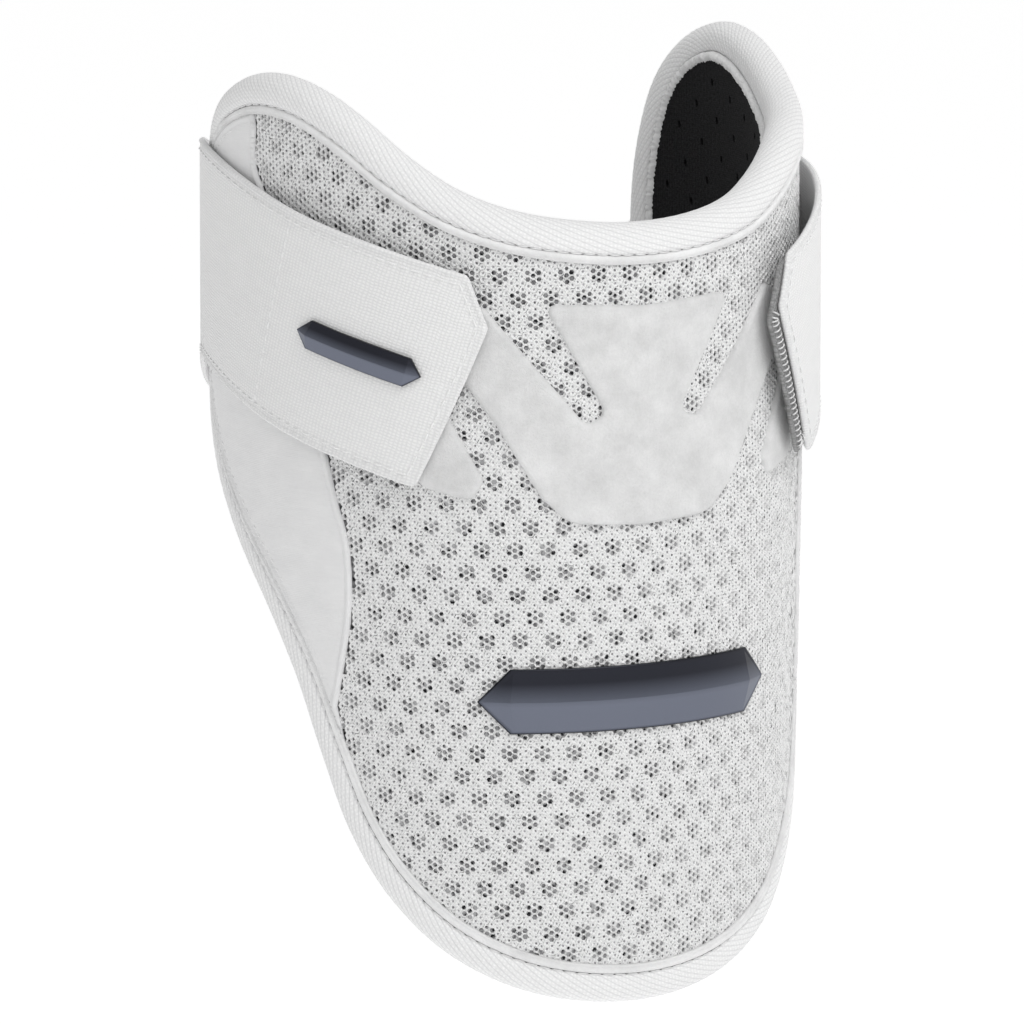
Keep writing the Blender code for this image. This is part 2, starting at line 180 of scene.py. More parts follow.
STRAP_PATH = [
    # turn, height, reach
    (-24.0, 0.340, 1.023),
    (-36.0, 0.371, 1.023),
    (-48.0, 0.411, 1.023),
    (-60.0, 0.451, 1.022),
    (-72.0, 0.490, 1.018),
    (-84.0, 0.530, 1.006),
    (-96.0, 0.564, 1.000),
    (-107.0, 0.582, 1.000),
    (-118.0, 0.580, 1.004),
    (-129.0, 0.525, 1.002),
    (-142.0, 0.430, 0.960),
    (-158.0, 0.335, 0.890),
    (-180.0, 0.270, 0.860),
    (-204.0, 0.258, 0.890),
    (-220.0, 0.262, 0.955),
    (-232.0, 0.278, 1.000),
    (-242.0, 0.325, 1.010),
    (-253.0, 0.415, 1.022),
    (-265.0, 0.490, 1.030),
    (-277.0, 0.510, 1.033),
    (-289.0, 0.488, 1.033),
    (-301.0, 0.452, 1.034),
    (-313.0, 0.412, 1.040),
    (-324.0, 0.372, 1.052),
    (-336.0, 0.335, 1.062),
]


# Camera, light and floor

LIGHTS = [
    # name, turn, elevation, distance, size, power
    ("key", -15, 52, 1.7, 1.0, 13.0),
    ("front", 26, 33, 2.2, 1.2, 6.0),
    ("side", -100, 22, 2.0, 0.9, 3.2),
]


def aim(name, data, turn, elevation, distance):
    """Object that looks at the origin, from a turn left of the front and an
    elevation, both in degrees."""
    turn, elevation = math.radians(turn), math.radians(elevation)
    towards = Vector((-math.sin(turn) * math.cos(elevation),
                      -math.cos(turn) * math.cos(elevation), math.sin(elevation)))
    item = bpy.data.objects.new(name, data)
    bpy.context.scene.collection.objects.link(item)
    item.location = towards * distance
    item.rotation_euler = (-towards).to_track_quat("-Z", "Y").to_euler()
    return item


def make_camera():
    """Long lens, from the left of the front and a little above."""
    pixels_across = 1024
    pixels_per_metre = 4300
    distance_in_pixels = 12000
    middle_column = 506
    middle_height = -3 * MM
    data = bpy.data.cameras.new("camera")
    camera = aim("camera", data, 27.5, 10.0, distance_in_pixels / pixels_per_metre)
    camera.location.z += middle_height
    data.sensor_width = 36.0
    data.lens = data.sensor_width * distance_in_pixels / pixels_across
    data.shift_x = (pixels_across / 2 - middle_column) / pixels_across
    data.clip_end = 100.0
    bpy.context.scene.camera = camera


def add_light(name, turn, elevation, distance, size, power):
    """Square soft light that faces the guard, placed by degrees and metres."""
    data = bpy.data.lights.new(name, "AREA")
    data.size = size
    data.energy = power
    aim(name, data, turn, elevation, distance)


def make_studio():
    """White surroundings that are darker in front, a pale floor far below
    and three soft lights."""
    scene = bpy.context.scene
    scene.view_settings.view_transform = "Standard"
    world = bpy.data.worlds.new("studio")
    world.use_nodes = True
    tree = world.node_tree
    place = add_node(tree, "ShaderNodeTexCoord", {}, "Generated")
    front = place.axis("Y").remap(-1.0, 0.2)
    up = place.axis("Z").remap(0.1, 0.8)
    horizon = place.axis("Z").remap(0.10, 0.18, 1.0, 0.0)
    glow = front.math("MAXIMUM", up).remap(0.0, 1.0, 0.16, 0.58).math("MAXIMUM", horizon)
    background = tree.nodes["Background"]
    background.inputs["Color"].default_value = (1, 1, 1, 1)
    feed(background.inputs["Strength"], glow, tree)
    scene.world = world
    for light in LIGHTS:
        add_light(*light)
    mesh = bpy.data.meshes.new("floor")
    span, depth = 14.0, -0.6
    mesh.from_pydata([(-span, -span, depth), (span, -span, depth), (span, span, depth),
                      (-span, span, depth)], [], [(0, 1, 2, 3)])
    floor = bpy.data.objects.new("floor", mesh)
    scene.collection.objects.link(floor)
    look = Look("floor_white", grey(0.95), 0.9)
    look.inputs["Emission Color"].default_value = (1, 1, 1, 1)
    look.inputs["Emission Strength"].default_value = 0.47
    mesh.materials.append(look.material)


# Materials

class Value:
    """Output of a node. Sums and methods on it add the nodes that they need."""

    def __init__(self, tree, socket):
        self.tree = tree
        self.socket = socket

    def math(self, operation, *others):
        """Result of one sum on the value and up to two others."""
        return add_node(self.tree, "ShaderNodeMath", dict(enumerate((self, *others))),
                        operation=operation)

    def __add__(self, other):
        return self.math("ADD", other)

    def __sub__(self, other):
        return self.math("SUBTRACT", other)

    def __mul__(self, other):
        return self.math("MULTIPLY", other)

    def times_plus(self, factor, more):
        """The value times a factor, with more added."""
        return self.math("MULTIPLY_ADD", factor, more)

    def remap(self, low, high, new_low=0.0, new_high=1.0):
        """Value moved from one range to another and held within it."""
        return add_node(self.tree, "ShaderNodeMapRange",
                        {"Value": self, "From Min": low, "From Max": high,
                         "To Min": new_low, "To Max": new_high})

    def axis(self, name):
        """One coordinate of a place: X, Y or Z."""
        return add_node(self.tree, "ShaderNodeSeparateXYZ", {0: self}, name)

    def noise(self, scale, detail=2.0, roughness=0.5, output="Fac"):
        """Noise over a place, with a scale in waves to the unit."""
        return add_node(self.tree, "ShaderNodeTexNoise",
                        {"Vector": self, "Scale": scale, "Detail": detail,
                         "Roughness": roughness}, output)

    def waves(self, axis, pitch):
        """Rows of threads over a place: 0 in the grooves and 1 on the crests."""
        return (self.axis(axis) * (2 * math.pi / pitch)).math("SINE").remap(-1.0, 1.0)

    def drifting(self, scale, detail=2.0):
        """The place, shifted unevenly so that straight rows waver."""
        return add_node(self.tree, "ShaderNodeVectorMath",
                        {0: self, 1: self.noise(scale, detail, output="Color")},
                        operation="ADD")


def feed(socket, value, tree):
    """Give a socket a plain value or the output of another node."""
    if isinstance(value, Value):
        tree.links.new(value.socket, socket)
    else:
        socket.default_value = value


def add_node(tree, kind, sockets, output=0, **settings):
    """One output of a new node whose named or numbered sockets are fed."""
    node = tree.nodes.new(kind)
    for setting, value in settings.items():
        setattr(node, setting, value)
    for socket, value in sockets.items():
        feed(node.inputs[socket], value, tree)
    return Value(tree, node.outputs[output])


def blend(share, first, second):
    """Colour between two, by a share from 0 to 1."""
    first, second = (end if isinstance(end, Value) else (*end, 1.0) for end in (first, second))
    first_colour, second_colour, result = 6, 7, 2
    return add_node(share.tree, "ShaderNodeMix",
                    {0: share, first_colour: first, second_colour: second}, result,
                    data_type="RGBA")


def grey(value):
    """Colour of a neutral grey."""
    return (value, value, value)


class Look:
    """Material in the making, with its node tree and its principled shader."""

    def __init__(self, name, colour, roughness, sheen=0.0, metallic=0.0, specular=0.25):
        self.material = bpy.data.materials.new(name)
        self.material.use_nodes = True
        self.tree = self.material.node_tree
        self.inputs = self.tree.nodes["Principled BSDF"].inputs
        for socket, value in (("Base Color", (*colour, 1.0)), ("Roughness", roughness),
                              ("Metallic", metallic), ("Sheen Weight", sheen),
                              ("Specular IOR Level", specular)):
            self.inputs[socket].default_value = value

    def mark(self, name, output="Fac"):
        """Value or vector that the mesh carries under a name."""
        return add_node(self.tree, "ShaderNodeAttribute", {}, output, attribute_name=name)

    def flat(self, across=1.0):
        """Place in the flat pattern, in millimetres, stretched across as asked."""
        return add_node(self.tree, "ShaderNodeVectorMath",
                        {0: self.mark("flat", "Vector"), 1: (1000 * across, 1000, 1000)},
                        operation="MULTIPLY")

    def finish(self, colour, height=None, distance=0.0):
        """The material, with its colour and a bump from a height of 0 to 1
        that stands for a real distance."""
        feed(self.inputs["Base Color"], colour, self.tree)
        if height is not None:
            bump = add_node(self.tree, "ShaderNodeBump",
                            {"Height": height, "Distance": distance, "Strength": 1.0})
            feed(self.inputs["Normal"], bump, self.tree)
        return self.material


def knit_material():
    """Open knit: pale yarn with a random grain, lighter on the stitch crests as a painted
    highlight and darker in the grooves as painted shade, and a dark pinhole painted as shade in
    the middle of each small cell.
    """
    look = Look("knit_white", grey(0.76), 0.8, sheen=0.15)
    place = look.flat()
    up = place.axis("Y")
    column, row = KNIT_COLUMN / MM, KNIT_ROW / MM
    # Painted shade: the pinholes' mask, from the pin mark, wider towards the top and made uneven
    # by noise.
    edge = place.noise(1.1, 1.0).remap(0.35, 0.65, 0.72, 0.54)
    opened = up.remap(20.0, 90.0, 0.0, 0.08)
    hole = (look.mark("pin") + opened - edge).remap(0.0, 0.12)
    slant = up.times_plus(-KNIT_LEAN, place.axis("X")).math("PINGPONG", column / 2)
    stitch = ((up + slant) * (2 * math.pi / (row / 2))).math("SINE").remap(-1.0, 1.0)
    grain = place.noise(2.0, 3.0, 0.7).remap(0.36, 0.60)
    relief = stitch.times_plus(0.45, grain * 0.55)
    # Painted highlight and shade: the yarn's colour follows the stitches' relief, lighter on the
    # crests and darker in the grooves.
    yarn = blend(relief, (0.67, 0.67, 0.675), (0.91, 0.91, 0.905))
    # Painted shade inside the pinholes, near black to mid grey.
    dark = blend(place.noise(0.8).remap(0.35, 0.65), (0.10, 0.10, 0.105), (0.50, 0.50, 0.51))
    return look.finish(blend(hole, yarn, dark), relief, 0.16 * MM)


def padding_shade_material():
    """Foam behind the knit, coloured with painted shade for what shows down the knit's holes:
    patches of near black and mid grey, darker towards the top.
    """
    look = Look("padding_painted_shade", grey(0.2), 0.9)
    place = look.flat()
    fine = place.noise(0.75, 1.0).remap(0.36, 0.56)
    broad = place.noise(0.05).remap(0.35, 0.65, 0.6, 1.0)
    # Painted shade: darker towards the top.
    painted_shade_higher = place.axis("Y").remap(15.0, 60.0, 1.0, 0.62)
    colour = blend(fine * broad * painted_shade_higher, (0.02, 0.02, 0.023), (0.56, 0.56, 0.57))
    return look.finish(colour, fine, 0.2 * MM)


def tape_material():
    """Ribbed tape: grey grooves painted as shade, and fine threads across the ribs."""
    look = Look("tape_ribbed", grey(0.84), 0.75, sheen=0.2)
    place = look.flat()
    wobble = place.drifting(0.5)
    beads = wobble.waves("X", 0.95) * wobble.waves("Y", 0.85)
    thread = place.noise(2.6, 2.0, 0.6)
    # Painted shade: the grey colour of the grooves between the ribs, chosen by the rib mark.
    groove = blend(place.noise(0.5, 3.0, 0.6), (0.56, 0.56, 0.565), (0.70, 0.70, 0.705))
    crest = blend(beads.times_plus(0.7, thread * 0.5), grey(0.70), grey(0.85))
    colour = blend(look.mark("rib").remap(0.0, 0.75), groove, crest)
    return look.finish(colour, beads.times_plus(0.8, thread), 0.07 * MM)


def felt_material(name, low, high, sheen, bump, scale=1.6):
    """Brushed or looped pile: soft mottling and a fine fuzz."""
    look = Look(name, grey(high), 0.9, sheen=sheen)
    place = look.flat()
    cloud = place.noise(0.09, 5.0, 0.65)
    fuzz = place.noise(scale, 4.0, 0.75)
    share = (cloud * 0.75 + fuzz * 0.25).remap(0.38, 0.62)
    return look.finish(blend(share, grey(low), grey(high)), fuzz, bump)


def panel_material():
    """Smooth close cloth with very fine threads both ways."""
    look = Look("panel_smooth", (0.72, 0.72, 0.725), 0.6, sheen=0.1)
    place = look.flat()
    threads = place.waves("X", 0.42) + place.waves("Y", 0.42)
    cloud = look.flat(0.6).noise(0.22, 4.0, 0.65).remap(0.3, 0.7)
    slub = look.flat(0.15).noise(1.6, 3.0, 0.7)
    colour = blend(slub.times_plus(0.6, cloud * 0.45), (0.655, 0.655, 0.66), grey(0.745))
    return look.finish(colour, slub.times_plus(1.2, threads * 0.3), 0.05 * MM)


def strap_material():
    """Woven elastic: cords across the strap, crossed by finer rows."""
    look = Look("strap_woven", grey(0.80), 0.75, sheen=0.15)
    place = look.flat().drifting(0.35, 3.0)
    weave = place.waves("X", 1.0).math("POWER", 0.5) * place.waves("Y", 0.72).math("POWER", 0.5)
    patchy = look.flat(0.25).noise(0.5, 3.0)
    share = patchy.times_plus(0.35, weave * 0.8)
    colour = blend(share, (0.66, 0.66, 0.665), (0.79, 0.79, 0.785))
    return look.finish(colour, weave, 0.09 * MM)


def thread_material():
    """White sewing thread, twisted."""
    look = Look("thread_white", grey(0.84), 0.6, sheen=0.2)
    twist = add_node(look.tree, "ShaderNodeTexCoord", {}, "Object").noise(5000.0)
    return look.finish(blend(twist, grey(0.70), grey(0.84)))


def liner_material():
    """Matt black cloth over foam, finely knitted."""
    look = Look("liner_black", (0.010, 0.010, 0.011), 0.9, sheen=0.03, specular=0.12)
    place = look.flat()
    knit = place.waves("X", 0.6) * place.waves("Y", 0.5)
    speckle = place.noise(1.6, 3.0, 0.75).remap(0.38, 0.66)
    colour = blend(speckle, (0.003, 0.003, 0.0035), (0.018, 0.018, 0.019))
    return look.finish(colour, speckle.times_plus(0.8, knit), 0.08 * MM)


def hook_material(name, low, high):
    """Plastic of the hooks or of the tab that they stand on."""
    look = Look(name, grey(0.55), 0.55)
    fuzz = look.flat().noise(1.5, 4.0, 0.7)
    return look.finish(blend(fuzz.remap(0.3, 0.7), grey(low), grey(high)), fuzz, 0.3 * MM)


def badge_material():
    """Slate grey moulding with a fine metallic grain, the upper facet painted darker as shade
    and the lower one lighter, and near black on the low sides.
    """
    look = Look("badge_slate", (0.13, 0.14, 0.18), 0.36, metallic=0.75, specular=0.5)
    grain = look.flat().noise(6.0, 2.0, 0.8)
    spread = grain.remap(0.3, 0.7)
    # Painted shade: lit and shaded copies of the slate, the lower facet pale and the upper facet
    # deep, chosen by the shade mark across the width.
    pale = blend(spread, (0.105, 0.115, 0.15), (0.16, 0.175, 0.22))
    painted_shaded_facet = blend(spread, (0.016, 0.017, 0.024), (0.032, 0.034, 0.046))
    face = blend(look.mark("shade").remap(-0.15, 0.55), pale, painted_shaded_facet)
    feed(look.inputs["Roughness"], grain.remap(0.3, 0.7, 0.30, 0.46), look.tree)
    colour = blend(look.mark("rise").remap(0.90, 1.0), (0.012, 0.013, 0.018), face)
    return look.finish(colour, grain, 0.01 * MM)


# Flat patterns

def smooth_curve(rows, steps, closed):
    """Catmull-Rom curve through rows, with the given steps for each row."""
    rows = np.array(rows, dtype=float)
    if closed:
        padded = np.concatenate([rows[-1:], rows, rows[:2]])
    else:
        padded = np.concatenate([rows[:1], rows, rows[-1:]])
    before, start, end, after = padded[:-3], padded[1:-2], padded[2:-1], padded[3:]
    points = []
    for share in np.arange(steps) / steps:
        points.append(0.5 * (2 * start + (end - before) * share
                             + (2 * before - 5 * start + 4 * end - after) * share ** 2
                             + (3 * start - before - 3 * end + after) * share ** 3))
    curve = np.stack(points, axis=1).reshape(-1, rows.shape[1])
    return curve if closed else np.concatenate([curve, rows[-1:]])


def running(steps):
    """The running total of steps, from 0."""
    return np.concatenate([[0.0], np.cumsum(steps)])


def close(line):
    """The line with its first point again at its end."""
    return np.concatenate([line, line[:1]])


def open_lengths(line):
    """Distance along a line at each of its points."""
    return running(np.linalg.norm(np.diff(line, axis=0), axis=1))


def line_lengths(line):
    """Distance along a closed line at each point, and at its end."""
    return open_lengths(close(line))


def read_along(lengths, rows, distances):
    """Flat points or vectors at distances, from rows that stand at lengths."""
    return np.stack([np.interp(distances, lengths, rows[:, axis]) for axis in (0, 1)], axis=-1)


def at_distances(line, distances):
    """Points of a closed line at the given distances along it."""
    lengths = line_lengths(line)
    return read_along(lengths, close(line), np.mod(distances, lengths[-1]))


def even_line(line, spacing):
    """The closed line with its points evenly spaced."""
    total = line_lengths(line)[-1]
    count = max(8, round(total / spacing))
    return at_distances(line, np.arange(count) * total / count)


def left_normals(line):
    """Unit normals to the left of a closed line's way."""
    ahead = np.roll(line, -1, axis=0) - np.roll(line, 1, axis=0)
    ahead /= np.linalg.norm(ahead, axis=1)[:, None]
    return np.stack([-ahead[:, 1], ahead[:, 0]], axis=1)


def normals_along(line, lengths, distances):
    """The closed line's left normals, read at distances along it."""
    read = read_along(lengths, close(left_normals(line)), distances)
    return read / np.linalg.norm(read, axis=1)[:, None]


def inset(line, distance):
    """The closed anticlockwise line moved inwards."""
    return line + left_normals(line) * distance


def signed_area(line):
    """Area within a closed line, below 0 if the line runs clockwise."""
    ahead = np.roll(line, -1, axis=0)
    return np.sum(line[:, 0] * ahead[:, 1] - ahead[:, 0] * line[:, 1]) / 2


def sheet_size(outline):
    """Flat width, length and area of a closed outline."""
    size = outline.max(axis=0) - outline.min(axis=0)
    return (float(size[0]), float(size[1])), float(abs(signed_area(outline)))


def anticlockwise(line):
    """The line, turned round if it runs clockwise."""
    return line if signed_area(line) > 0 else line[::-1]


def inside(points, outline):
    """True for each point within the closed outline."""
    ahead = np.roll(outline, -1, axis=0)
    result = np.zeros(len(points), dtype=bool)
    for (x0, y0), (x1, y1) in zip(outline, ahead):
        if y0 == y1:
            continue
        between = (points[:, 1] >= min(y0, y1)) & (points[:, 1] < max(y0, y1))
        crossing = x0 + (points[:, 1] - y0) / (y1 - y0) * (x1 - x0)
        result ^= between & (points[:, 0] < crossing)
    return result


def border_gap(points, outlines):
    """Distance from each point to the nearest outline."""
    nearest = np.full(len(points), np.inf)
    for outline in outlines:
        for start, end in zip(outline, np.roll(outline, -1, axis=0)):
            step = end - start
            share = np.clip((points - start) @ step / max(step @ step, 1e-18), 0.0, 1.0)
            gap = points - start - share[:, None] * step
            np.minimum(nearest, np.einsum("ij,ij->i", gap, gap), out=nearest)
    return np.sqrt(nearest)


def staggered(outline, spacing):
    """Points of a staggered lattice over the outline's box."""
    low, high = outline.min(axis=0), outline.max(axis=0)
    row_step = spacing * math.sqrt(0.75)
    rows = np.arange(low[1] + row_step / 2, high[1], row_step)
    points = []
    for index, row in enumerate(rows):
        across = np.arange(low[0] + spacing / 2 * (index % 2), high[0], spacing)
        points.append(np.stack([across, np.full(len(across), row)], axis=1))
    return np.concatenate(points)


def fill(outline, spacing, rings=(), ring_spacing=None, holes=()):
    """Points and triangles over a flat outline, with rings of points near it."""
    ring_spacing = ring_spacing or spacing
    loops = [outline, *holes]
    inner = staggered(outline, spacing)
    inner = inner[inside(inner, outline)]
    deepest = max(rings, default=0.0)
    parts = [inner[border_gap(inner, loops) > deepest + spacing * 0.5]]
    for distance in rings:
        ring = even_line(inset(outline, distance), ring_spacing)
        ring = ring[inside(ring, outline)]
        ring = ring[border_gap(ring, loops) > distance * 0.98 - 0.00001]
        parts.append(ring)
    extra = np.concatenate(parts)
    for hole in holes:
        extra = extra[~inside(extra, hole)]
    coords = [Vector(point) * 1000 for point in np.concatenate(loops + [extra])]
    edges, start = [], 0
    for loop in loops:
        count = len(loop)
        edges += [(start + index, start + (index + 1) % count) for index in range(count)]
        start += count
    verts, _, faces, *_ = delaunay_2d_cdt(coords, edges, [], 1, 1e-5)
    points = np.array([tuple(vert) for vert in verts]) / 1000
    faces = np.array([tuple(face) for face in faces])
    middles = points[faces].mean(axis=1)
    for hole in holes:
        keep = ~inside(middles, hole)
        faces, middles = faces[keep], middles[keep]
    return points, faces


# Bent shapes

def on_guard(points, offset):
    """Flat (arc, height) points bent round the arm, offset outwards."""
    arc, height = points[:, 0], points[:, 1]
    below = TAPER_START - height
    below = (below + np.sqrt(below ** 2 + TAPER_BLEND ** 2)) / 2
    radius = SHELL_OUTER + offset - TAPER * below
    turn = arc / SHELL_OUTER
    return np.stack([radius * np.sin(turn), -radius * np.cos(turn), height], axis=1)


def edge_line():
    """The edge's middle line, flat and anticlockwise seen from the front."""
    right = [(math.radians(row[2]) * SHELL_OUTER, row[3] * HALF_HEIGHT) for row in EDGE]
    left = [(-math.radians(row[0]) * SHELL_OUTER, row[1] * HALF_HEIGHT) for row in EDGE]
    return smooth_curve(right[::-1] + left[1:-1], EDGE_STEPS, closed=True)


class Route:
    """The strap's way round the arm. Flat points are (along, across) in
    metres, from the left end leftwards round the back, and up the strap."""

    def __init__(self):
        rows = smooth_curve(STRAP_PATH, 24, closed=False)
        self.turns = np.radians(-rows[:, 0])
        self.heights = rows[:, 1] * HALF_HEIGHT
        self.reaches = rows[:, 2]
        end = math.radians(STRAP_END_TURN)
        self.stations = np.linspace(end - 0.2, 2 * math.pi - end + 0.2, 1200)
        radius = self.radius(self.stations)
        middle = np.stack([radius * np.sin(self.stations), radius * np.cos(self.stations),
                           self.height(self.stations)], axis=1)
        self.runs = open_lengths(middle)
        self.runs -= np.interp(end, self.stations, self.runs)
        self.length = float(np.interp(2 * math.pi - end, self.stations, self.runs))

    def height(self, turn):
        return np.interp(turn, self.turns, self.heights)

    def radius(self, turn):
        reach = np.interp(turn, self.turns, self.reaches)
        return (SHELL_OUTER + STRAP_INNER) * reach

    def run(self, degrees):
        return float(np.interp(math.radians(degrees), self.stations, self.runs))

    def place(self, points, offset):
        """Points on the strap, offset outwards from its inner face."""
        turn = np.interp(points[:, 0], self.runs, self.stations)
        across = points[:, 1]
        step = math.radians(2.0)
        rise = self.height(turn + step) - self.height(turn - step)
        slope = np.arctan2(rise, 2 * step * SHELL_OUTER)
        here = turn - across * np.sin(slope) / SHELL_OUTER
        radius = self.radius(here) + offset
        height = self.height(turn) + across * np.cos(slope)
        return np.stack([-radius * np.sin(here), -radius * np.cos(here), height], axis=1)


def make_object(name, points, faces, flat, material, marks=None, outward=False):
    """Smooth mesh that carries its flat pattern and any named marks."""
    mesh = bpy.data.meshes.new(name)
    mesh.from_pydata(points.tolist(), [], [list(face) for face in faces])
    if outward:
        shape = bmesh.new()
        shape.from_mesh(mesh)
        bmesh.ops.recalc_face_normals(shape, faces=shape.faces)
        shape.to_mesh(mesh)
        shape.free()
    mesh.materials.append(material)
    mesh.shade_smooth()
    layer = mesh.attributes.new("flat", "FLOAT_VECTOR", "POINT")
    values = np.zeros((len(points), 3))
    values[:, :2] = flat
    layer.data.foreach_set("vector", values.ravel())
    for mark, values in (marks or {}).items():
        layer = mesh.attributes.new(mark, "FLOAT", "POINT")
        layer.data.foreach_set("value", np.asarray(values, dtype=float))
    item = bpy.data.objects.new(name, mesh)
    bpy.context.scene.collection.objects.link(item)
    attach(item, "root")
    return item


def level(height):
    """A plate's face at one height."""
    return lambda points, gap: np.full(len(points), height)


def millimetres(*sizes):
    """Sizes in millimetres as metres."""
    return tuple(size * MM for size in sizes)


def ridge(gap, height, middle, spread):
    """Rounded ridge that runs along a border, at a middle distance from it.
    The three sizes are in millimetres."""
    return height * MM * np.exp(-((gap - middle * MM) / (spread * MM)) ** 2)


def edge_round(gap, radius):
    """Share of full height at a distance from a rounded border."""
    near = np.clip(1 - gap / radius, 0.0, 1.0)
    return np.sqrt(1 - near ** 2)


def tube_faces(first_point, rings, sides):
    """Faces of one closed tube whose rings of points follow one another."""
    faces = []
    for ring in range(rings - 1):
        for side in range(sides):
            first = first_point + ring * sides + side
            second = first_point + ring * sides + (side + 1) % sides
            faces.append((first, second, second + sides, first + sides))
    last = first_point + (rings - 1) * sides
    faces.append(tuple(first_point + side for side in range(sides))[::-1])
    faces.append(tuple(last + side for side in range(sides)))
    return faces


def border_edges(faces):
    """Directed edges of triangles that only one triangle uses."""
    edges = np.concatenate([faces[:, [0, 1]], faces[:, [1, 2]], faces[:, [2, 0]]])
    used = dict.fromkeys(map(tuple, edges.tolist()))
    return [(start, end) for start, end in used if (end, start) not in used]


def plate(name, outline, place, bottom, top, spacing, material,
          rings=(), ring_spacing=None, holes=()):
    """Closed sheet over a flat outline. bottom and top give the height above
    the place's surface from (points, distance to the border)."""
    points, faces = fill(outline, spacing, rings, ring_spacing, holes)
    gap = border_gap(points, [outline, *holes])
    upper = place(points, top(points, gap))
    lower = place(points, bottom(points, gap))
    count = len(points)
    walls = [(start, start + count, end + count, end) for start, end in border_edges(faces)]
    everything = faces.tolist() + (faces[:, ::-1] + count).tolist() + walls
    flat = np.concatenate([points, points])
    return make_object(name, np.concatenate([upper, lower]), everything, flat, material,
                       outward=True)


def band(name, tracks, flat, material, marks=None):
    """Closed tube whose rings are given as tracks[station, section] points."""
    stations, sections = tracks.shape[:2]
    index = np.arange(stations * sections).reshape(stations, sections)
    after = np.roll(index, -1, axis=0)
    beside = np.roll(index, -1, axis=1)
    across = np.roll(after, -1, axis=1)
    faces = np.stack([index, after, across, beside], axis=2).reshape(-1, 4)
    return make_object(name, tracks.reshape(-1, 3), faces.tolist(), flat.reshape(-1, 2),
                       material, marks, outward=True)


def sewn(name, paths, place, height, material, length=STITCH_LENGTH, gap=STITCH_GAP,
         thread=THREAD):
    """Rows of stitches along flat paths, each a short thread with round ends."""
    sides, spans = 6, (0.0, 0.10, 0.5, 0.90, 1.0)
    swell = (0.35, 0.9, 1.15, 0.9, 0.35)
    points, faces = [], []
    look_ahead = 0.3 * MM
    for path, closed in paths:
        loop = close(path) if closed else path
        runs = open_lengths(loop)
        count = int(runs[-1] / (length + gap))
        for start in np.arange(count) * runs[-1] / count:
            faces += tube_faces(len(points), len(spans), sides)
            for span, size in zip(spans, swell):
                run = min(start + length * span, runs[-1])
                here = read_along(runs, loop, run)
                ahead = read_along(runs, loop, min(run + look_ahead, runs[-1]))
                back = read_along(runs, loop, max(run - look_ahead, 0.0))
                way = (ahead - back) / max(np.linalg.norm(ahead - back), 1e-9)
                beside = np.array([-way[1], way[0]])
                lift = height + thread * (1.0 - 1.4 * (2 * span - 1) ** 2)
                for side in range(sides):
                    angle = 2 * math.pi * side / sides
                    flat = here + beside * thread * size * math.cos(angle)
                    points.append((*flat, lift + thread * size * math.sin(angle)))
    points = np.array(points)
    world = place(points[:, :2], points[:, 2])
    return make_object(name, world, faces, points[:, :2], material, outward=True)


# Padded body

def make_padding(line, material, inner_material):
    """Foam body inside the tape, a little thinner than the shell it stands
    for, and black on the arm's side."""
    outline = even_line(line, 2.5 * MM)
    # Its top face, seen down the knit's holes and beside the side panels, is coloured with
    # painted shade.
    pad = plate("padding", outline, on_guard, level(-SHELL_WALL),
                lambda points, gap: -PAD_DROP - 1.2 * MM * (1 - edge_round(gap, 2.0 * MM)),
                3.0 * MM, material, rings=millimetres(0.8, 2.0))
    pad.data.materials.append(inner_material)
    first_inner = len(pad.data.vertices) // 2
    for polygon in pad.data.polygons:
        if min(polygon.vertices) >= first_inner:
            polygon.material_index = 1
    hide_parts("shell")


def cluster_place(column, row):
    """Whether a knit cell is one of a cluster's seven holes, and which. The
    pattern repeats every six columns and seven rows, with a second cluster
    half way along both."""
    for start_column, start_row in ((0, 0.0), (3, 3.5)):
        across = (column - start_column + 3) % 6 - 3
        up = (row - start_row + 3.5) % 7 - 3.5
        if across == 0 and abs(up) < 1.2:
            return 1.0 if up < 0.6 else 0.72
        if abs(across) == 1 and abs(up) < 0.7:
            return 1.0
    return 0.0


